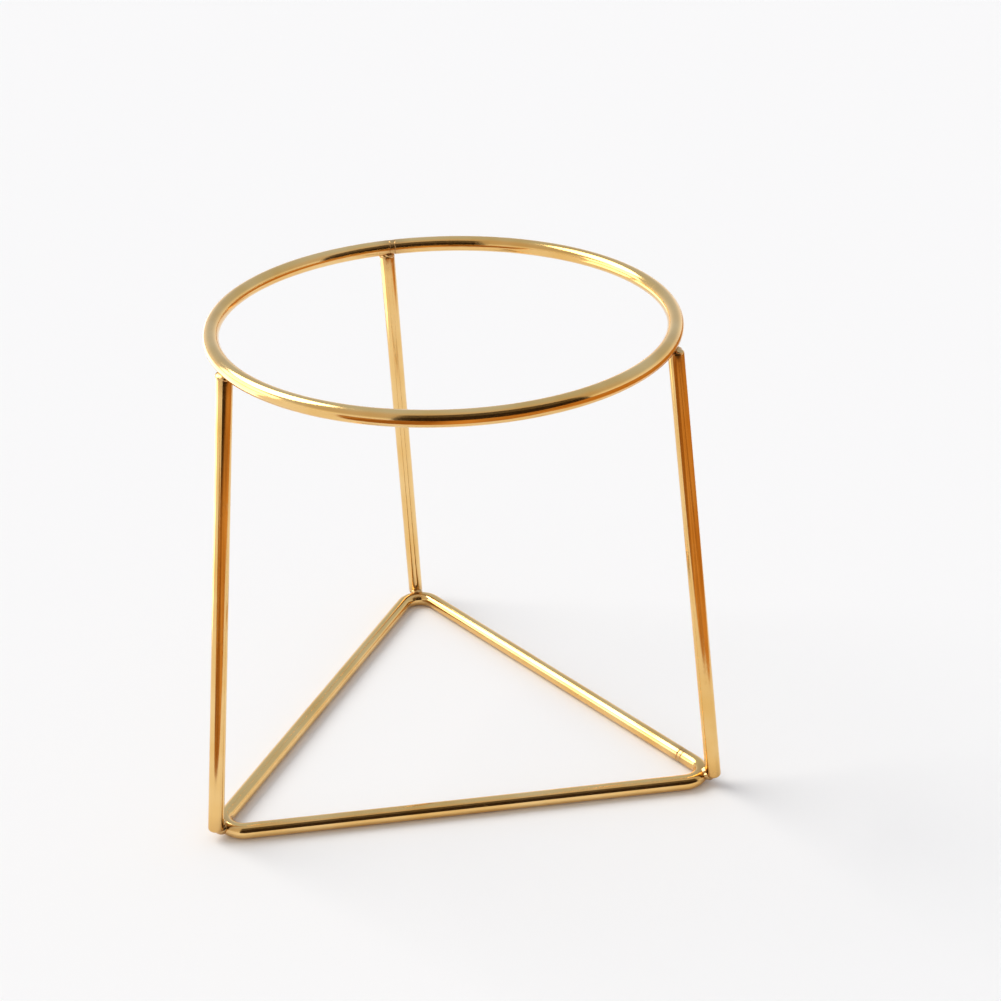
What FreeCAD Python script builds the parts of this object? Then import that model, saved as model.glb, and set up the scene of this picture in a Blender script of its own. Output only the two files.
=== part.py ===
import FreeCAD, Part
import math
import os

# Open wire stand for an air plant: a ring on three splayed legs over a triangle, all of one round wire
# Millimetres, Z up, origin on the table under the middle of the base triangle

# Wire
wire_diameter = 3.0
leg_end_chamfer = 0.45

# Ring, which stands slightly to the right of the middle of the base: its seam is measured from the back leg
ring_inner_diameter = 82.0
stand_height = 90.9
ring_shift = 1.7
ring_seam_width = 1.1
ring_seam_offset = 1.0

# Base triangle: its side is measured along the centre lines of the bars, to where they would cross, and its
# seam from the end of the right bend
base_side = 98.3
bend_inside_radius = 2.5
base_seam_width = 1.1
base_seam_offset = 3.3

# Legs: how deep the welds draw them into the ring and the bends, and how far above the middle of the
# base wire their feet are cut off
top_sink = 0.3
foot_sink = 0.3
leg_foot_rise = 0.3
right_top_outset = 0.8

# Weld metal: how far it spreads past the wires that it joins, climbs the ring and sits above the middle of
# the base wire, and how far it narrows inside the wires
ring_weld_spread = 0.35
ring_weld_climb = 0.6
base_weld_spread = 0.35
base_weld_rise = 0.6
weld_end_share = 0.6

# Degrees: the direction of the back corner, and how far round the ring each leg's top is turned
back_corner_degrees = 90.0
left_top_degrees = -12.1
right_top_degrees = 4.6
back_top_degrees = 8.0

# Each leg: angle of its corner, turn of its top round the ring and outward step of its top
full_turn = 360
third_turn = full_turn / 3
corner_angles = {
    "left": back_corner_degrees + third_turn,
    "right": back_corner_degrees - third_turn,
    "back": back_corner_degrees,
}
top_turns = {"left": left_top_degrees, "right": right_top_degrees, "back": back_top_degrees}
top_outsets = {"left": 0, "right": right_top_outset, "back": 0}

# Sizes that follow from the ones above
wire_radius = wire_diameter / 2
ring_radius = ring_inner_diameter / 2 + wire_radius
ring_height = stand_height - wire_radius
ring_middle = FreeCAD.Vector(ring_shift, 0, ring_height)
base_height = wire_radius
bend_radius = bend_inside_radius + wire_radius
half_corner = math.radians(third_turn / 4)
base_inradius = base_side / 2 * math.tan(half_corner)
bend_middle_reach = (base_inradius - bend_radius) / math.sin(half_corner)
corner_reach = bend_middle_reach + bend_radius
bar_half_length = base_side / 2 - bend_radius / math.tan(half_corner)
up = FreeCAD.Vector(0, 0, 1)


def outward(angle):
    """Level unit vector at an angle in degrees from +X."""
    turn = math.radians(angle)
    return FreeCAD.Vector(math.cos(turn), math.sin(turn), 0)


def ring_point(angle, reach):
    """Point at a reach from the ring's axis, level with the middle of the ring wire."""
    return ring_middle + outward(angle) * reach


def base_point(angle, along):
    """Point on the centre line of the bar that faces an angle, at a distance along it from its middle."""
    middle = outward(angle) * base_inradius + up * base_height
    return middle + up.cross(outward(angle)) * along


def less(piece, neighbours):
    """Piece with its neighbours cut out of it one by one, so that it seats against each of them."""
    for neighbour in neighbours:
        piece = piece.cut(neighbour)
    return piece


def leg_line(corner):
    """A point on a leg's axis level with the ring, and the unit vector down the leg.

    Seen along the corner's bend, the axis is the tangent from its top point to a circle about the middle of
    the bend wire. The circle's radius is the distance between the two wires less the depth of the weld.
    """
    out = outward(corner_angles[corner])
    top_angle = corner_angles[corner] + top_turns[corner]
    top = ring_point(top_angle, ring_radius + top_outsets[corner])
    drop = ring_height - base_height
    run = corner_reach - top.dot(out)
    spacing = wire_diameter - foot_sink
    lean = math.atan2(run, drop) + math.asin(spacing / math.hypot(run, drop))
    side = top - out * top.dot(out) - up * top.z
    down = out * (drop * math.tan(lean)) - side - up * drop
    return top, down.normalize()


def point_at_height(line, height):
    """Point where a leg's axis passes a height."""
    top, down = line
    return top + down * ((height - top.z) / down.z)


def turned_solid(outline, foot, direction):
    """Outline of radii and heights turned about an axis that starts at a foot and runs in a direction."""
    points = [FreeCAD.Vector(radius, 0, height) for radius, height in outline]
    section = Part.Face(Part.makePolygon(points + points[:1]))
    solid = section.revolve(FreeCAD.Vector(0, 0, 0), up, full_turn)
    solid.Placement = FreeCAD.Placement(foot, FreeCAD.Rotation(up, direction))
    return solid


def leg_blank(corner):
    """Straight leg with chamfered ends, before its seats are cut."""
    line = leg_line(corner)
    foot = point_at_height(line, base_height + leg_foot_rise)
    head = point_at_height(line, ring_height - wire_radius + top_sink)
    length = (head - foot).Length
    end_radius = wire_radius - leg_end_chamfer
    outline = [
        (0, 0),
        (end_radius, 0),
        (wire_radius, leg_end_chamfer),
        (wire_radius, length - leg_end_chamfer),
        (end_radius, length),
        (0, length),
    ]
    return turned_solid(outline, foot, head - foot)


def turned_wire(middle, radius, start, sweep):
    """Wire bent to an arc in a level plane: its round section turned about an upright axis."""
    section = Part.makeCircle(wire_radius, middle + outward(start) * radius, up.cross(outward(start)))
    return Part.Face(Part.Wire([section])).revolve(middle, up, sweep)


def make_ring():
    """Rolled wire with a gap at its seam beside the back leg, and the flush weld that fills the gap."""
    back_angle = corner_angles["back"] + top_turns["back"]
    seam_angle = back_angle - math.degrees(ring_seam_offset / ring_radius)
    gap = math.degrees(ring_seam_width / ring_radius)
    ring = turned_wire(ring_middle, ring_radius, seam_angle + gap / 2, full_turn - gap)
    weld = turned_wire(ring_middle, ring_radius, seam_angle - gap / 2, gap)
    return ring, weld


def make_bar(angle, start, end):
    """Straight length of wire on one side of the triangle, between two distances along it."""
    first = base_point(angle, start)
    last = base_point(angle, end)
    return Part.makeCylinder(wire_radius, (last - first).Length, first, last - first)


def make_bend(angle):
    """Rounded corner of the triangle that faces an angle."""
    middle = outward(angle) * bend_middle_reach + up * base_height
    return turned_wire(middle, bend_radius, angle - third_turn / 2, third_turn)


def make_base():
    """Bent wire with a gap at its seam on the right bar, and the flush weld that fills the gap."""
    left_bar = corner_angles["left"] - third_turn / 2
    front_bar = corner_angles["left"] + third_turn / 2
    right_bar = corner_angles["right"] + third_turn / 2
    seam = base_seam_offset - bar_half_length
    seam_start = seam - base_seam_width / 2
    seam_end = seam + base_seam_width / 2
    lengths = [make_bend(angle) for angle in corner_angles.values()]
    lengths.append(make_bar(left_bar, -bar_half_length, bar_half_length))
    lengths.append(make_bar(front_bar, -bar_half_length, bar_half_length))
    lengths.append(make_bar(right_bar, -bar_half_length, seam_start))
    lengths.append(make_bar(right_bar, seam_end, bar_half_length))
    base = lengths[0].fuse(lengths[1:]).removeSplitter()
    return base, make_bar(right_bar, seam_start, seam_end)


def weld_lens(middle, direction, radius, reach):
    """Lens of weld metal about an axis: two cones, widest at its middle, that narrow inside the wires."""
    end_radius = radius * weld_end_share
    outline = [
        (0, -wire_radius),
        (end_radius, -wire_radius),
        (radius, 0),
        (end_radius, reach),
        (0, reach),
    ]
    return turned_solid(outline, middle, direction)


def ring_weld(corner, ring):
    """Collar of weld metal round a leg's top, closed above by the underside of the ring."""
    line = leg_line(corner)
    under = point_at_height(line, ring_height - wire_radius)
    foot = point_at_height(line, base_height)
    leg = Part.makeCylinder(wire_radius, (line[0] - foot).Length, foot, line[0] - foot)
    return less(weld_lens(under, up, wire_radius + ring_weld_spread, ring_weld_climb), [ring, leg])


def base_weld(corner, base, leg):
    """Weld metal round the spot where a leg's foot presses into a bend."""
    out = outward(corner_angles[corner])
    pressed = math.sqrt(wire_diameter * foot_sink)
    spot = out * (corner_reach + wire_radius) + up * (base_height + base_weld_rise)
    return less(weld_lens(spot, out, pressed + base_weld_spread, wire_radius), [base, leg])


nodes = {}
nodes["top_ring"], nodes["ring_seam_weld"] = make_ring()
nodes["base_triangle"], nodes["base_seam_weld"] = make_base()
closed_ring = turned_wire(ring_middle, ring_radius, 0, full_turn)
base_wire = nodes["base_triangle"]
for corner in corner_angles:
    blank = leg_blank(corner)
    nodes[corner + "_leg"] = less(blank, [closed_ring, base_wire])
    nodes[corner + "_ring_weld"] = ring_weld(corner, closed_ring)
    nodes[corner + "_base_weld"] = base_weld(corner, base_wire, blank)

os.makedirs("parts", exist_ok=True)
for name, shape in nodes.items():
    shape.exportStep("parts/" + name + ".step")
    print(name, len(shape.Solids), shape.isValid(), round(shape.Volume, 3))
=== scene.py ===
# %% [markdown]
# # A gold wire stand for an air plant
# The real stand is a ring on three splayed legs over a triangle. Everything is one size of round wire,
# welded together, polished and plated with gold. The frame holds the stand at its real size, in metres.
# This lesson keeps every wire where the frame has it, and gives it a smoother skin, a plated finish and
# a small photo studio.

# %% Load the frame
import math

import bpy
import numpy as np
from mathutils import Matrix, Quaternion, Vector


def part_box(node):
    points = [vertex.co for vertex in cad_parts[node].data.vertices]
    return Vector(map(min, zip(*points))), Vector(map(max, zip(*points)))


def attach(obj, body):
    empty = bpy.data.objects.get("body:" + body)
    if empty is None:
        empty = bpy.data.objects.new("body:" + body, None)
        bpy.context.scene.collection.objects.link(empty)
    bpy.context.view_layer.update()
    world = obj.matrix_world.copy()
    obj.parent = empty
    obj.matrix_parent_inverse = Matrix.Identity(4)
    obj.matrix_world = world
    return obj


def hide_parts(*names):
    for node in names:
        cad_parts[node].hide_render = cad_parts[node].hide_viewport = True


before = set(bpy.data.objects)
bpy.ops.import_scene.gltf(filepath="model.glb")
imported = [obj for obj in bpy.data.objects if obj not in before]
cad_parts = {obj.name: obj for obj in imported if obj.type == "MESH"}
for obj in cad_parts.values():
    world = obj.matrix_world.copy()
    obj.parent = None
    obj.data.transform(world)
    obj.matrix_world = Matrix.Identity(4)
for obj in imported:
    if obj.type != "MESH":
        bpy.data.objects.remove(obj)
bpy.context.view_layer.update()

MM = 0.001
print("frame holds", sorted(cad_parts))

# %% [markdown]
# ## Measure the wires
# A box tells enough about a wire that lies level. The ring's box gives its middle, its radius and the
# thickness of the wire. The triangle's box gives how far its bars and corners lie from the middle of the
# base. A bend's radius follows from those two: twice the reach of a bar less the reach of a corner.

# %% Measure the ring and the triangle
ring_low, ring_high = (np.array(corner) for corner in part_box("top_ring"))
base_low, base_high = (np.array(corner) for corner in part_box("base_triangle"))
wire_radius = (ring_high[2] - ring_low[2]) / 2
ring_middle = (ring_low + ring_high) / 2
ring_radius = (ring_high[0] - ring_low[0]) / 2 - wire_radius
base_height = (base_low[2] + base_high[2]) / 2
bar_reach = -base_low[1] - wire_radius
corner_reach = base_high[1] - wire_radius
bend_radius = 2 * bar_reach - corner_reach
print("wire %.2f mm thick, ring %.1f mm across its middle, bends of %.1f mm"
      % (wire_radius * 2 / MM, ring_radius * 2 / MM, bend_radius / MM))

# %% [markdown]
# A leaning leg needs more than a box. The skin of a straight wire faces every way except along the wire,
# so its axis is the direction that the face normals avoid: the last singular vector of the normals, each
# weighted by the area of its face. The middle of the skin's area lies on that axis.

# %% Measure the legs
CORNERS = ("left", "right", "back")
LEAST_AREA_SHARE = 1e-9


def triangles_of(mesh):
    """Corner points of a mesh's triangles, as an array of triangle, corner and coordinate."""
    points = np.empty(len(mesh.vertices) * 3, np.float32)
    mesh.vertices.foreach_get("co", points)
    mesh.calc_loop_triangles()
    corners = np.empty(len(mesh.loop_triangles) * 3, np.int32)
    mesh.loop_triangles.foreach_get("vertices", corners)
    return points.reshape(-1, 3)[corners].reshape(-1, 3, 3).astype(float)


def skin_of(node):
    """Triangles of one of the frame's nodes."""
    return triangles_of(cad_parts[node].data)


def straight_axis(node):
    """Two ends of a wire's axis: middle of its skin + direction that the normals avoid * reach."""
    skin = skin_of(node)
    normals = np.cross(skin[:, 1] - skin[:, 0], skin[:, 2] - skin[:, 0])
    areas = np.linalg.norm(normals, axis=1)
    middle = (skin.mean(1) * areas[:, None]).sum(0) / areas.sum()
    weighted = normals / np.sqrt(np.maximum(areas, areas.max() * LEAST_AREA_SHARE))[:, None]
    along = np.linalg.svd(weighted, full_matrices=False)[2][-1]
    along *= np.sign(along[2])
    reaches = (skin.reshape(-1, 3) - middle) @ along
    return middle + along * reaches.min(), middle + along * reaches.max()


leg_ends = {corner: straight_axis(corner + "_leg") for corner in CORNERS}
for corner, (foot, head) in leg_ends.items():
    length = np.linalg.norm(head - foot)
    lean = math.degrees(math.acos((head - foot)[2] / length))
    print("%s leg: %.1f mm long, leans %.1f degrees" % (corner, length / MM, lean))

# %% [markdown]
# The middle of its box says where each weld is. Heat spreads from there along the wires, and leaves the
# plating a little redder and duller. The finish reads that as one number for every point of a skin.

# %% Find the welds
HEAT_SPREAD = 2.2 * MM

weld_names = sorted(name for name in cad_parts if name.endswith("_weld"))
weld_spots = np.array([np.mean(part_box(name), axis=0) for name in weld_names])


def weld_heat(points):
    """Heat = exp(-distance to the nearest weld / spread)."""
    distances = np.linalg.norm(points[:, None] - weld_spots[None], axis=2)
    return np.exp(-distances.min(1) / HEAT_SPREAD)


print(len(weld_names), "welds:", ", ".join(weld_names))

# %% [markdown]
# ## The skin of a wire
# A round wire is a circle carried along a path. Blender could bevel a curve for that, but numpy shows
# the whole formula and keeps control of the ends: at each station of the path stands a circle, spanned
# by two directions that are square to the wire.

# %% Carry a circle along a path
FULL_TURN = 2 * math.pi
ROUND_STEPS = 44
ROUND_TURNS = np.linspace(0, FULL_TURN, ROUND_STEPS, endpoint=False)

wire_girth = FULL_TURN * wire_radius


def carried_circle(path, side, top, radii):
    """Point = path + radius * (side * cos(turn) + top * sin(turn)), for every station and every turn."""
    spokes = side[:, None] * np.cos(ROUND_TURNS)[:, None] + top[:, None] * np.sin(ROUND_TURNS)[:, None]
    return path[:, None] + radii[:, None, None] * spokes


print("every wire has %d faces round it, each %.2f mm wide" % (ROUND_STEPS, wire_girth / ROUND_STEPS / MM))

# %% [markdown]
# The points make a grid: a row for each station and a column for each turn. Four neighbours make a face,
# and the last column meets the first one. A fan of triangles about one middle point closes each end, so
# the skin has no hole. A map on the skin counts metres along the wire and metres round it, so that the
# finish can follow the way the wire was drawn.

# %% Stitch and map the skin
def skin_faces(rows, columns):
    """Corners of every face between neighbouring rows, whose columns wrap round, and of two end fans."""
    row, column = np.meshgrid(np.arange(rows - 1), np.arange(columns), indexing="ij")
    beside = (column + 1) % columns
    quads = np.stack([row * columns + column, row * columns + beside,
                      (row + 1) * columns + beside, (row + 1) * columns + column], -1).reshape(-1, 4)
    first = np.arange(columns)
    last = first + (rows - 1) * columns
    start_fan = np.stack([np.roll(first, -1), first, np.full(columns, rows * columns)], 1)
    end_fan = np.stack([last, np.roll(last, -1), np.full(columns, rows * columns + 1)], 1)
    return quads, start_fan, end_fan


def skin_map(runs, columns, girth):
    """Map of every face corner: metres along the wire, and metres round it without a jump at the seam."""
    row, column = np.meshgrid(np.arange(len(runs) - 1), np.arange(columns), indexing="ij")
    along = np.stack([runs[row], runs[row], runs[row + 1], runs[row + 1]], -1).reshape(-1)
    around = np.stack([column, column + 1, column + 1, column], -1).reshape(-1) * girth / columns
    fan_around = np.repeat(np.arange(columns) * girth / columns, 3)
    start_fan = np.stack([np.full(columns * 3, runs[0]), fan_around], -1)
    end_fan = np.stack([np.full(columns * 3, runs[-1]), fan_around], -1)
    return np.concatenate([np.stack([along, around], -1), start_fan, end_fan])


band, start_cap, end_cap = skin_faces(2, ROUND_STEPS)
cap_faces = len(start_cap) + len(end_cap)
print("a tube of two rows has %d faces in its band and %d in its two ends" % (len(band), cap_faces))

# %% [markdown]
# Each skin becomes an object at the origin, with its place in its mesh. Its volume comes out negative
# when the faces point inwards, and then they are flipped. The heat of the welds is stored with the
# points.

# %% Make a skin a piece
def signed_volume(mesh):
    """Sum over the triangles of corner . (corner x corner) / 6: positive where the faces point outwards."""
    a, b, c = triangles_of(mesh).transpose(1, 0, 2)
    return float((a * np.cross(b, c)).sum() / 6)


def make_skin(name, grid, runs, girth):
    """Closed object over a grid of rows along a wire and columns round it, with a pole at each end."""
    rows, columns = grid.shape[:2]
    poles = np.stack([grid[0].mean(0), grid[-1].mean(0)])
    points = np.concatenate([grid.reshape(-1, 3), poles])
    quads, start_fan, end_fan = skin_faces(rows, columns)
    mesh = bpy.data.meshes.new(name)
    mesh.from_pydata(points.tolist(), [], quads.tolist() + start_fan.tolist() + end_fan.tolist())
    layer = mesh.uv_layers.new(name="wire_run")
    layer.uv.foreach_set("vector", skin_map(runs, columns, girth).astype(np.float32).ravel())
    mesh.shade_smooth()
    if signed_volume(mesh) < 0:
        mesh.flip_normals()
    heat = mesh.attributes.new("weld_heat", "FLOAT", "POINT")
    heat.data.foreach_set("value", weld_heat(points).astype(np.float32))
    piece = bpy.data.objects.new(name, mesh)
    bpy.context.scene.collection.objects.link(piece)
    return piece


print("pieces go into", bpy.context.scene.collection.name)

# %% [markdown]
# A sawn end is never sharp after tumbling and plating. The wire keeps its full radius up to a short way
# from the end, and closes there in a quarter circle. The stations stand close together in that stretch
# and further apart along the rest.

# %% Round the ends of a wire
END_STEPS = 8


def end_stations(length, rounding, step):
    """Distances along a wire: rounding * (1 - cos(turn)) at both ends, and even steps between them."""
    quarter = np.linspace(0, math.pi / 2, END_STEPS)
    start = rounding * (1 - np.cos(quarter))
    count = max(2, int((length - 2 * rounding) / step))
    between = np.linspace(rounding, length - rounding, count + 1)[1:-1]
    return np.concatenate([start, between, (length - start)[::-1]])


def end_radii(runs, length, rounding):
    """Radius = wire radius - rounding + sqrt(rounding^2 - depth^2), with the depth into the rounding."""
    depth = np.clip(rounding - np.minimum(runs, length - runs), 0, rounding)
    return wire_radius - rounding + np.sqrt(rounding ** 2 - depth ** 2)


print("each wire end closes in", END_STEPS, "steps")

# %% [markdown]
# ## The seams
# The ring and the triangle are each one length of wire whose two ends meet in a butt weld. The weld is
# ground down afterwards, just a hair below the wire, so a fine groove is left on both sides of it. It
# was laid by hand, so the two grooves wander a little.

# %% Let the seams wander
SEAM_ROUNDING = 0.14 * MM
SEAM_SINK = 0.04 * MM
SEAM_WANDER = 0.11 * MM
SEAM_FADE = 0.4 * MM
UP = np.array([0.0, 0.0, 1.0])


def wander(depth, phase):
    """Shift along the wire: two waves round it that die away with the depth from its end."""
    waves = np.sin(2 * ROUND_TURNS + phase) + 0.6 * np.sin(5 * ROUND_TURNS - 2 * phase)
    return SEAM_WANDER * waves * np.exp(-depth / SEAM_FADE)[:, None]


def seam_wire(name, path, out, runs, sunk, phases):
    """Level wire: circles of the end radius less the sunk depth, shifted by the wander of both ends."""
    length = runs[-1]
    radii = end_radii(runs, length, SEAM_ROUNDING) - sunk
    grid = carried_circle(path, out, np.broadcast_to(UP, out.shape), radii)
    shift = wander(runs, phases[0]) + wander(length - runs, phases[1])
    grid += shift[..., None] * np.cross(UP, out)[:, None]
    return make_skin(name, grid, runs, wire_girth)


print("grooves of about %.2f mm wander by %.2f mm" % (2 * SEAM_ROUNDING / MM, SEAM_WANDER / MM))

# %% [markdown]
# ## The ring
# The ring is rolled from one length of wire, and its seam is beside the back leg. Its path is an arc
# that starts at one side of that weld and goes all the way round to the other. The frame's weld says
# where the gap is, and how wide.

# %% Roll the ring
RING_STEP = 0.45 * MM
RING_SEAM_PHASES = (0.4, 2.0)


def level_directions(turns):
    """Level unit vectors at turns from +X: (cos(turn), sin(turn), 0)."""
    return np.stack([np.cos(turns), np.sin(turns), np.zeros_like(turns)], -1)


def rolled_wire(name, first_turn, last_turn, sunk, phases):
    """Wire along an arc: path = middle + ring radius * direction at the turn."""
    runs = end_stations((last_turn - first_turn) * ring_radius, SEAM_ROUNDING, RING_STEP)
    out = level_directions(first_turn + runs / ring_radius)
    return seam_wire(name, ring_middle + out * ring_radius, out, runs, sunk, phases)


ring_seam = skin_of("ring_seam_weld").reshape(-1, 3) - ring_middle
ring_seam_turns = np.arctan2(ring_seam[:, 1], ring_seam[:, 0])
seam_start = ring_seam_turns.min()
seam_end = ring_seam_turns.max()
ring_wire = rolled_wire("ring_wire", seam_end, seam_start + FULL_TURN, 0, RING_SEAM_PHASES)
ring_seam_bead = rolled_wire("ring_seam_bead", seam_start, seam_end, SEAM_SINK, RING_SEAM_PHASES[::-1])
seam_width = (seam_end - seam_start) * ring_radius
print("ring: %d faces, seam %.2f mm wide" % (len(ring_wire.data.polygons), seam_width / MM))

# %% [markdown]
# ## The base triangle
# A triangle with round corners is a smaller triangle with a circle carried round it. On a bar the inner
# corner point slides along and the outward direction stays; in a bend the corner point stays and the
# direction turns. One bar and one bend are a third of the way round, so the same formula serves all
# three.

# %% Bend the triangle
BASE_STEP = 0.4 * MM
BASE_SEAM_PHASES = (1.1, 3.3)
THIRD = FULL_TURN / 3

bend_reach = corner_reach - bend_radius
bar_length = bend_reach * math.sqrt(3)
third_length = bar_length + bend_radius * THIRD
right_turn = -THIRD / 4


def triangle_path(places):
    """Point = inner corner sliding along its bar + bend radius * outward direction turning in the bend."""
    third = np.floor(places / third_length)
    run = places - third * third_length
    slide = np.clip(run / bar_length, 0, 1)[:, None]
    turn = np.clip((run - bar_length) / bend_radius, 0, THIRD)
    corner_turn = right_turn + third * THIRD
    inner = level_directions(corner_turn) * (1 - slide) + level_directions(corner_turn + THIRD) * slide
    out = level_directions(corner_turn + THIRD / 2 + turn)
    return inner * bend_reach + out * bend_radius + UP * base_height, out


def bent_wire(name, first, last, sunk, phases):
    """Wire along the triangle's path, between two places counted from the end of the right bend."""
    runs = end_stations(last - first, SEAM_ROUNDING, BASE_STEP)
    path, out = triangle_path(first + runs)
    return seam_wire(name, path, out, runs, sunk, phases)


bar_start, bar_end = triangle_path(np.array([0.0, bar_length]))[0]
bar_along = (bar_end - bar_start) / bar_length
base_seam = (skin_of("base_seam_weld").reshape(-1, 3) - bar_start) @ bar_along
weld_start = base_seam.min()
weld_end = base_seam.max()
whole_length = 3 * third_length
base_wire = bent_wire("base_wire", weld_end, weld_start + whole_length, 0, BASE_SEAM_PHASES)
base_seam_bead = bent_wire("base_seam_bead", weld_start, weld_end, SEAM_SINK, BASE_SEAM_PHASES[::-1])
print("triangle: bars of %.1f mm, seam %.1f mm up the right bar" % (bar_length / MM, base_seam.mean() / MM))

# %% [markdown]
# ## The legs
# The legs are straight lengths of the same wire, cut off and tumbled. Any two directions square to the
# leg will do for its circles: one of them is kept level.

# %% Cut the legs
LEG_ROUNDING = 0.7 * MM
LEG_STEP = 1.2 * MM


def straight_wire(name, foot, head):
    """Wire along a line: path = foot + distance * unit vector to the head."""
    length = np.linalg.norm(head - foot)
    along = (head - foot) / length
    side = np.cross(UP, along)
    side /= np.linalg.norm(side)
    top = np.cross(along, side)
    runs = end_stations(length, LEG_ROUNDING, LEG_STEP)
    path = foot + runs[:, None] * along
    sides = np.broadcast_to(side, path.shape)
    tops = np.broadcast_to(top, path.shape)
    grid = carried_circle(path, sides, tops, end_radii(runs, length, LEG_ROUNDING))
    return make_skin(name, grid, runs, wire_girth)


legs = {corner: straight_wire(corner + "_leg_wire", *leg_ends[corner]) for corner in CORNERS}
print("legs:", ", ".join("%s %d faces" % (corner, len(leg.data.polygons)) for corner, leg in legs.items()))

# %% [markdown]
# ## The weld beads
# Each leg is welded twice: its top under the ring, and its foot against a bend. The metal froze there as
# a small lump with ripples, and most of it sits inside the wires. A lump is an ellipsoid about the axis
# of the joint, and two waves round it keep it from looking turned on a lathe.

# %% Shape a weld bead
BEAD_ROWS = 36
BEAD_RIPPLE = 0.09


def weld_bead(name, middle, axis, side, radii, below, above, phase):
    """Point = middle + axis * reach * sin(lift) + spoke * cos(lift) * (1 + ripples).

    Spoke = long radius * side * cos(turn) + short radius * top * sin(turn). The reach along the axis is
    one length below the middle and another above it.
    """
    lift = np.linspace(-math.pi / 2, math.pi / 2, BEAD_ROWS + 2)[1:-1]
    waves = np.sin(3 * ROUND_TURNS + phase + 2.2 * lift[:, None])
    waves += 0.6 * np.sin(7 * ROUND_TURNS - 2 * phase + 5 * lift[:, None])
    spread = np.cos(lift)[:, None] * (1 + BEAD_RIPPLE * waves)
    rise = np.where(lift < 0, below, above) * np.sin(lift)
    long_radius, short_radius = radii
    spokes = long_radius * side * np.cos(ROUND_TURNS)[:, None]
    spokes += short_radius * np.cross(axis, side) * np.sin(ROUND_TURNS)[:, None]
    grid = middle + rise[:, None, None] * axis + spread[..., None] * spokes
    return make_skin(name, grid, rise - rise[0], FULL_TURN * short_radius)


print("a bead has", BEAD_ROWS, "rows of", ROUND_STEPS, "faces")

# %% [markdown]
# Under the ring the metal ran a little way along the ring, to both sides of the leg, so that lump is
# drawn out in that direction: most of all at the left leg, and hardly at the right one, whose rounded
# end shows beside the ring. At the foot the lump lies across the gap between the leg and the bend.

# %% Lay the weld beads
RING_BEAD_RADII = {
    "left": (2.1 * MM, 1.5 * MM),
    "right": (1.5 * MM, 1.3 * MM),
    "back": (1.55 * MM, 1.45 * MM),
}
RING_BEAD_DROP = 0.9 * MM
RING_BEAD_RISE = 0.75 * MM
BASE_BEAD_RADII = (1.3 * MM, 1.3 * MM)
BASE_BEAD_REACH = 1.5 * MM
BASE_BEAD_LIFT = 0.6 * MM
CORNER_TURNS = {"right": right_turn, "back": right_turn + THIRD, "left": right_turn + 2 * THIRD}

ring_beads = {}
base_beads = {}
for phase, corner in enumerate(CORNERS):
    foot, head = leg_ends[corner]
    down_leg = (ring_low[2] - head[2]) / (head - foot)[2]
    under_ring = head + (head - foot) * down_leg
    from_middle = under_ring - ring_middle
    along_ring = level_directions(math.pi / 2 + np.arctan2(from_middle[1], from_middle[0]))
    ring_beads[corner] = weld_bead(corner + "_ring_bead", under_ring, UP, along_ring,
                                   RING_BEAD_RADII[corner], RING_BEAD_DROP, RING_BEAD_RISE, phase)
    out = level_directions(CORNER_TURNS[corner])
    beside_bend = out * (corner_reach + wire_radius) + UP * (base_height + BASE_BEAD_LIFT)
    base_beads[corner] = weld_bead(corner + "_base_bead", beside_bend, out, np.cross(out, UP),
                                   BASE_BEAD_RADII, BASE_BEAD_REACH, BASE_BEAD_REACH, phase + 0.5)
print("beads:", len(ring_beads) + len(base_beads))

# %% [markdown]
# ## Hand the pieces to the frame
# Nothing on the stand moves, so every piece rides on the one body. Each one takes the place of the node
# that it was measured from, which is hidden.

# %% Replace the nodes
pieces = {
    "top_ring": ring_wire,
    "ring_seam_weld": ring_seam_bead,
    "base_triangle": base_wire,
    "base_seam_weld": base_seam_bead,
}
for corner in CORNERS:
    pieces[corner + "_leg"] = legs[corner]
    pieces[corner + "_ring_weld"] = ring_beads[corner]
    pieces[corner + "_base_weld"] = base_beads[corner]
for node, piece in pieces.items():
    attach(piece, "root")
    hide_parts(node)
print("replaced", len(pieces), "nodes")

# %% [markdown]
# ## The gold finish
# The wire is drawn through a die, which leaves fine lines along it. Then it is polished and plated with
# a thin coat of gold. Three effects make that up, and both materials share them as node groups: lines
# along the wire, slow clouds in the colour of the coat, and marks from handling. A few helpers keep the
# node code short. The Mix node has a set of sockets for each kind of value, so the ones for colours are
# named here.

# %% Tools for the finish
MIX_FIRST = 6
MIX_SECOND = 7
MIX_RESULT = 2


def add(tree, kind, inputs=None, **settings):
    """Node of a kind with settings, whose inputs are linked to sockets or set to plain values."""
    node = tree.nodes.new("ShaderNode" + kind)
    for name, value in settings.items():
        setattr(node, name, value)
    for name, value in (inputs or {}).items():
        if isinstance(value, bpy.types.NodeSocket):
            tree.links.new(value, node.inputs[name])
        else:
            node.inputs[name].default_value = value
    return node


def noise(tree, place, scale, detail):
    """Soft noise round 0.5 at a place, with so many blots to the unit and so many finer layers."""
    return add(tree, "TexNoise", {"Vector": place, "Scale": scale, "Detail": detail}).outputs["Fac"]


def ramp(tree, value, low, high, rise="LINEAR"):
    """0 up to the low value, 1 from the high value on, with a straight or a smooth rise between them."""
    limits = {"Value": value, "From Min": low, "From Max": high}
    return add(tree, "MapRange", limits, interpolation_type=rise).outputs["Result"]


def mixed(tree, share, first, second):
    """Colour = first * (1 - share) + second * share, where a colour is three numbers or a socket."""
    pair = [end if isinstance(end, bpy.types.NodeSocket) else (*end, 1) for end in (first, second)]
    inputs = {"Factor": share, MIX_FIRST: pair[0], MIX_SECOND: pair[1]}
    return add(tree, "Mix", inputs, data_type="RGBA").outputs[MIX_RESULT]


print("node groups before the finish:", len(bpy.data.node_groups))

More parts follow.
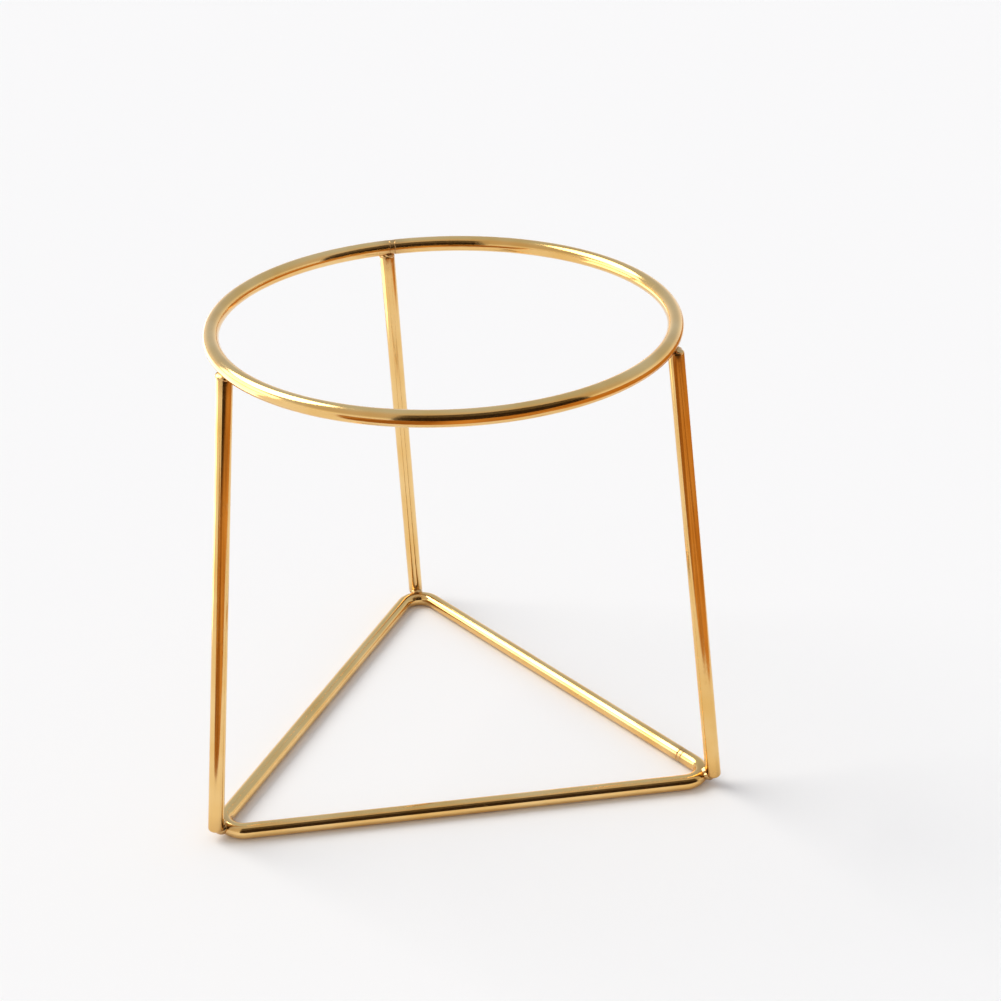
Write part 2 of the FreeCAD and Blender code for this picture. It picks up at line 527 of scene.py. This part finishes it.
# %% [markdown]
# A group is a small node tree with named inputs and outputs. It is built once, and each material places
# it with its own values. The drawn lines follow the map of the wire: noise that is stretched far along
# the wire and fine round it. They are much too shallow to see one by one in polished metal, but they
# pull a highlight out across the wire.

# %% Drawn lines
LINES_ROUND = 5200.0
LINES_ALONG = 90.0


def new_group(name, inputs, output):
    """Shader node group with named inputs that have values and one named output, and its two end nodes."""
    tree = bpy.data.node_groups.new(name, "ShaderNodeTree")
    for label, value in inputs.items():
        socket = tree.interface.new_socket(label, in_out="INPUT", socket_type="NodeSocketFloat")
        socket.default_value = value
    tree.interface.new_socket(output, in_out="OUTPUT", socket_type="NodeSocketFloat")
    return tree, tree.nodes.new("NodeGroupInput"), tree.nodes.new("NodeGroupOutput")


def make_drawn_lines():
    """Line = noise at (metres along * lines along, metres round * lines round)."""
    inputs = {"lines per metre round": LINES_ROUND, "lines per metre along": LINES_ALONG}
    tree, given, result = new_group("drawn lines", inputs, "line")
    run = add(tree, "UVMap", uv_map="wire_run")
    scale = add(tree, "CombineXYZ", {"X": given.outputs["lines per metre along"],
                                     "Y": given.outputs["lines per metre round"]})
    place = add(tree, "VectorMath", {0: run.outputs["UV"], 1: scale.outputs["Vector"]},
                operation="MULTIPLY")
    tree.links.new(noise(tree, place.outputs["Vector"], 1.0, 2.0), result.inputs["line"])
    return tree


drawn_lines = make_drawn_lines()
print("lines about %.2f mm apart" % (1 / LINES_ROUND / MM))

# %% [markdown]
# Plating grows a little thicker here and thinner there, so its colour drifts slowly over a centimetre or
# so. Fingers and packing leave small dull marks in places. Both of them sit in space, so they pass from
# wire to wire.

# %% Clouds and marks
CLOUDS = 90.0
MARKS = 700.0
MARK_PATCHES = 120.0


def make_plating_clouds():
    """Cloud = noise in space, stretched to run from 0 to 1."""
    tree, given, result = new_group("plating clouds", {"clouds per metre": CLOUDS}, "cloud")
    place = add(tree, "TexCoord").outputs["Object"]
    cloud = ramp(tree, noise(tree, place, given.outputs["clouds per metre"], 3.0), 0.3, 0.7)
    tree.links.new(cloud, result.inputs["cloud"])
    return tree


def make_handling_marks():
    """Mark = peaks of a fine noise * peaks of a coarse one, so that fine marks lie in patches."""
    inputs = {"marks per metre": MARKS, "patches per metre": MARK_PATCHES}
    tree, given, result = new_group("handling marks", inputs, "mark")
    place = add(tree, "TexCoord").outputs["Object"]
    fine = ramp(tree, noise(tree, place, given.outputs["marks per metre"], 6.0), 0.5, 0.75)
    patch = ramp(tree, noise(tree, place, given.outputs["patches per metre"], 1.0), 0.42, 0.68)
    both = add(tree, "Math", {0: fine, 1: patch}, operation="MULTIPLY")
    tree.links.new(both.outputs["Value"], result.inputs["mark"])
    return tree


plating_clouds = make_plating_clouds()
handling_marks = make_handling_marks()
print("groups:", ", ".join(group.name for group in bpy.data.node_groups))

# %% [markdown]
# The two materials place the same groups with their own values. On the wires the lines are long, and the
# coat turns redder and duller close to a weld. On the beads it is a shade browner all over, and a short
# grain and closer marks break up its shine.

# %% Gold materials
MARK_DULLING = 0.16
HEAT_DULLING = 0.12
LINE_STRENGTH = 0.12


def use(tree, group, **values):
    """Node that stands for a group, with some of its inputs set."""
    node = tree.nodes.new("ShaderNodeGroup")
    node.node_tree = group
    for name, value in values.items():
        node.inputs[name.replace("_", " ")].default_value = value
    return node


def gold(name, light, deep, heated, polish, line_depth, lines_along, clouds_per_metre, marks_per_metre):
    """Plated metal: two shades of gold in clouds, a heated shade by the welds, lines and marks.

    Roughness = polish + mark * mark dulling + heat * heat dulling.
    """
    material = bpy.data.materials.new(name)
    material.use_nodes = True
    tree = material.node_tree
    shader = tree.nodes["Principled BSDF"]
    shader.inputs["Metallic"].default_value = 1.0
    lines = use(tree, drawn_lines, lines_per_metre_along=lines_along)
    clouds = use(tree, plating_clouds, clouds_per_metre=clouds_per_metre)
    marks = use(tree, handling_marks, marks_per_metre=marks_per_metre)
    heat = add(tree, "Attribute", attribute_name="weld_heat")
    near_weld = ramp(tree, heat.outputs["Fac"], 0.15, 0.9)
    coat = mixed(tree, clouds.outputs["cloud"], deep, light)
    tree.links.new(mixed(tree, near_weld, coat, heated), shader.inputs["Base Color"])
    worn = add(tree, "MapRange", {"Value": marks.outputs["mark"], "To Min": polish,
                                  "To Max": polish + MARK_DULLING})
    dull = add(tree, "Math", {0: near_weld, 1: HEAT_DULLING, 2: worn.outputs["Result"]},
               operation="MULTIPLY_ADD")
    tree.links.new(dull.outputs["Value"], shader.inputs["Roughness"])
    bump = add(tree, "Bump", {"Height": lines.outputs["line"], "Strength": LINE_STRENGTH,
                              "Distance": line_depth})
    tree.links.new(bump.outputs["Normal"], shader.inputs["Normal"])
    return material


gold_wire = gold("gold_wire", light=(0.90, 0.61, 0.26), deep=(0.82, 0.49, 0.15), heated=(0.46, 0.24, 0.09),
                 polish=0.12, line_depth=0.006 * MM, lines_along=LINES_ALONG, clouds_per_metre=CLOUDS,
                 marks_per_metre=MARKS)
gold_weld = gold("gold_weld", light=(0.80, 0.56, 0.25), deep=(0.70, 0.44, 0.17), heated=(0.52, 0.30, 0.12),
                 polish=0.17, line_depth=0.02 * MM, lines_along=1400.0, clouds_per_metre=260.0,
                 marks_per_metre=1200.0)
for node, piece in pieces.items():
    piece.data.materials.append(gold_weld if node.endswith("_weld") else gold_wire)
print("finished", gold_wire.name, "and", gold_weld.name)

# %% [markdown]
# ## The studio
# Polished metal shows its surroundings, so the studio is most of the look. The floor is plain white, and
# it is all that the camera sees besides the stand.

# %% Floor
FLOOR_REACH = 30
FLOOR_WHITE = (0.92, 0.92, 0.92)


def stage_sheet(name, corners, color):
    """Flat four-cornered sheet of the set, with a plain matt colour."""
    mesh = bpy.data.meshes.new(name)
    mesh.from_pydata(corners, [], [(0, 1, 2, 3)])
    sheet = bpy.data.objects.new(name, mesh)
    bpy.context.scene.collection.objects.link(sheet)
    material = bpy.data.materials.new(name)
    material.use_nodes = True
    shader = material.node_tree.nodes["Principled BSDF"]
    shader.inputs["Base Color"].default_value = (*color, 1)
    shader.inputs["Roughness"].default_value = 1.0
    shader.inputs["Specular IOR Level"].default_value = 0.0
    mesh.materials.append(material)
    return sheet


floor = stage_sheet("floor", [(-FLOOR_REACH, -FLOOR_REACH, 0), (FLOOR_REACH, -FLOOR_REACH, 0),
                              (FLOOR_REACH, FLOOR_REACH, 0), (-FLOOR_REACH, FLOOR_REACH, 0)], FLOOR_WHITE)
print(floor.name, 2 * FLOOR_REACH, "m wide")

# %% [markdown]
# Cards that only the metal shows stand where the wires look, outside the part of the floor in view.
# Streaked brown wood lies in front and at the right for the warm side of the gold. A dark board with a
# dimmer one above it stands in front for the dark bands.

# %% Cards
DARK_WOOD = (0.24, 0.085, 0.015)
DEEP_WOOD = (0.46, 0.19, 0.03)
PALE_WOOD = (0.66, 0.33, 0.09)
GRAIN_SCALE = (13.0, 1.5, 1.0)
CARD_LIFT = 0.001
VIEW_LEFT = (-0.088, -0.070, CARD_LIFT)
VIEW_RIGHT = (0.081, -0.100, CARD_LIFT)
FRONT_LEFT = (-0.85, -0.60, CARD_LIFT)
FRONT_RIGHT = (1.0, -0.60, CARD_LIFT)
BACK_RIGHT = (1.2, 0.9, CARD_LIFT)
BACK_MIDDLE = (0.42, 0.70, CARD_LIFT)
BOARD_LEFT = -0.35
BOARD_RIGHT = 1.0


def hidden_card(name, corners, color):
    """Sheet that only reflections see: the camera, the shadows and the floor don't."""
    card = stage_sheet(name, corners, color)
    card.visible_camera = False
    card.visible_diffuse = False
    card.visible_shadow = False
    return card


def wood_card(name, corners, dark, pale):
    """Card with streaks that run away from the stand: noise drawn out along Y mixes two shades of wood."""
    card = hidden_card(name, corners, dark)
    tree = card.data.materials[0].node_tree
    place = add(tree, "TexCoord").outputs["Object"]
    drawn_out = add(tree, "VectorMath", {0: place, 1: GRAIN_SCALE}, operation="MULTIPLY")
    streak = ramp(tree, noise(tree, drawn_out.outputs["Vector"], 1.0, 2.0), 0.36, 0.64)
    tree.links.new(mixed(tree, streak, dark, pale), tree.nodes["Principled BSDF"].inputs["Base Color"])
    return card


def front_board(name, bottom, top, color):
    """Card across the front between two level edges, each given by its place in Y and Z."""
    corners = [(BOARD_LEFT, *bottom), (BOARD_RIGHT, *bottom), (BOARD_RIGHT, *top), (BOARD_LEFT, *top)]
    return hidden_card(name, corners, color)


front_corners = [VIEW_LEFT, FRONT_LEFT, FRONT_RIGHT, VIEW_RIGHT]
right_corners = [VIEW_RIGHT, FRONT_RIGHT, BACK_RIGHT, BACK_MIDDLE]
wood_front = wood_card("wood_front", front_corners, DARK_WOOD, PALE_WOOD)
wood_right = wood_card("wood_right", right_corners, DEEP_WOOD, PALE_WOOD)
dark_front = front_board("dark_front", (-0.60, 0.0), (-0.60, 0.50), (0.03, 0.018, 0.01))
dim_front = front_board("dim_front", (-0.60, 0.50), (-0.50, 1.15), (0.11, 0.085, 0.06))
print("cards:", wood_front.name, wood_right.name, dark_front.name, dim_front.name)

# %% [markdown]
# Three soft lights do the work. A wide key comes from high at the back left and is as strong everywhere
# on the floor, like a window far away. A tall panel stands low at the left, and a flat one lies on the
# floor there: they draw the pale stripes along the wires, and leave the floor alone.

# %% Lights
WARM_WHITE = (1.0, 0.97, 0.92)


def aim_light(light, place, aim):
    """Place a lamp of the set and turn it to face a point, unseen by the camera."""
    light.location = place
    light.rotation_euler = (Vector(aim) - Vector(place)).to_track_quat("-Z", "Y").to_euler()
    light.visible_camera = False
    bpy.context.scene.collection.objects.link(light)


def soft_panel(name, place, aim, width, height, watts):
    """Rectangular area light that shows in the metal and leaves the floor alone."""
    lamp = bpy.data.lights.new(name, "AREA")
    lamp.shape = "RECTANGLE"
    lamp.size = width
    lamp.size_y = height
    lamp.energy = watts
    lamp.color = WARM_WHITE
    light = bpy.data.objects.new(name, lamp)
    light.visible_diffuse = False
    aim_light(light, place, aim)
    return light


window = bpy.data.lights.new("key", "SUN")
window.energy = 2.0
window.angle = math.radians(40)
window.color = (0.97, 0.94, 0.89)
key = bpy.data.objects.new("key", window)
aim_light(key, (-1.5, 1.0, 1.75), (0, 0, 0))
tall_panel = soft_panel("tall_panel", place=(-3.0, 1.05, 0.70), aim=(0, 0, 0.04),
                        width=2.4, height=1.26, watts=20.0)
floor_panel = soft_panel("floor_panel", place=(-0.46, 0.38, 0.004), aim=(-0.46, 0.38, 1),
                         width=0.7, height=0.7, watts=2.8)
print("lights:", key.name, tall_panel.name, floor_panel.name)

# %% [markdown]
# The rest of the light is a dome. It is white near the floor, so that the floor runs into it without an
# edge. Overhead it is a little warm in front and a little cool at the back, as a room with a window is.

# %% Dome
HORIZON = (0.95, 0.95, 0.95)
FRONT_OVERHEAD = (0.62, 0.55, 0.47)
BACK_OVERHEAD = (0.55, 0.63, 0.76)


def make_dome():
    """Sky = horizon near the floor, rising smoothly to overhead, which goes smoothly from front to back."""
    world = bpy.data.worlds.new("dome")
    world.use_nodes = True
    tree = world.node_tree
    direction = add(tree, "TexCoord").outputs["Generated"]
    parts = add(tree, "SeparateXYZ", {"Vector": direction})
    to_back = ramp(tree, parts.outputs["Y"], -0.5, 0.4, "SMOOTHSTEP")
    to_top = ramp(tree, parts.outputs["Z"], 0.02, 0.42, "SMOOTHSTEP")
    overhead = mixed(tree, to_back, FRONT_OVERHEAD, BACK_OVERHEAD)
    tree.links.new(mixed(tree, to_top, HORIZON, overhead), tree.nodes["Background"].inputs["Color"])
    return world


bpy.context.scene.world = make_dome()
print("dome: white at the floor,", FRONT_OVERHEAD, "over the front,", BACK_OVERHEAD, "over the back")

# %% [markdown]
# ## The camera
# The camera looks down at the stand from the front and a little from the left, with a long lens. It was
# placed so that the edges of the ring, the legs and the triangle fall where they are in the photograph.

# %% Camera
CAMERA_PLACE = Vector((-0.03993, -0.34189, 0.22757))
CAMERA_AIM = Vector((0.01204, 0.00316, 0.05))
CAMERA_ROLL = math.radians(-1.247)

lens = bpy.data.cameras.new("camera")
lens.sensor_width = 36
lens.lens = 72.376
camera = bpy.data.objects.new("camera", lens)
camera.location = CAMERA_PLACE
camera.rotation_mode = "QUATERNION"
look = (CAMERA_AIM - CAMERA_PLACE).to_track_quat("-Z", "Y")
camera.rotation_quaternion = look @ Quaternion((0, 0, 1), CAMERA_ROLL)
bpy.context.scene.collection.objects.link(camera)
bpy.context.scene.camera = camera
bpy.context.scene.view_settings.view_transform = "Standard"
print("camera %.0f mm from its aim" % ((CAMERA_AIM - CAMERA_PLACE).length / MM))
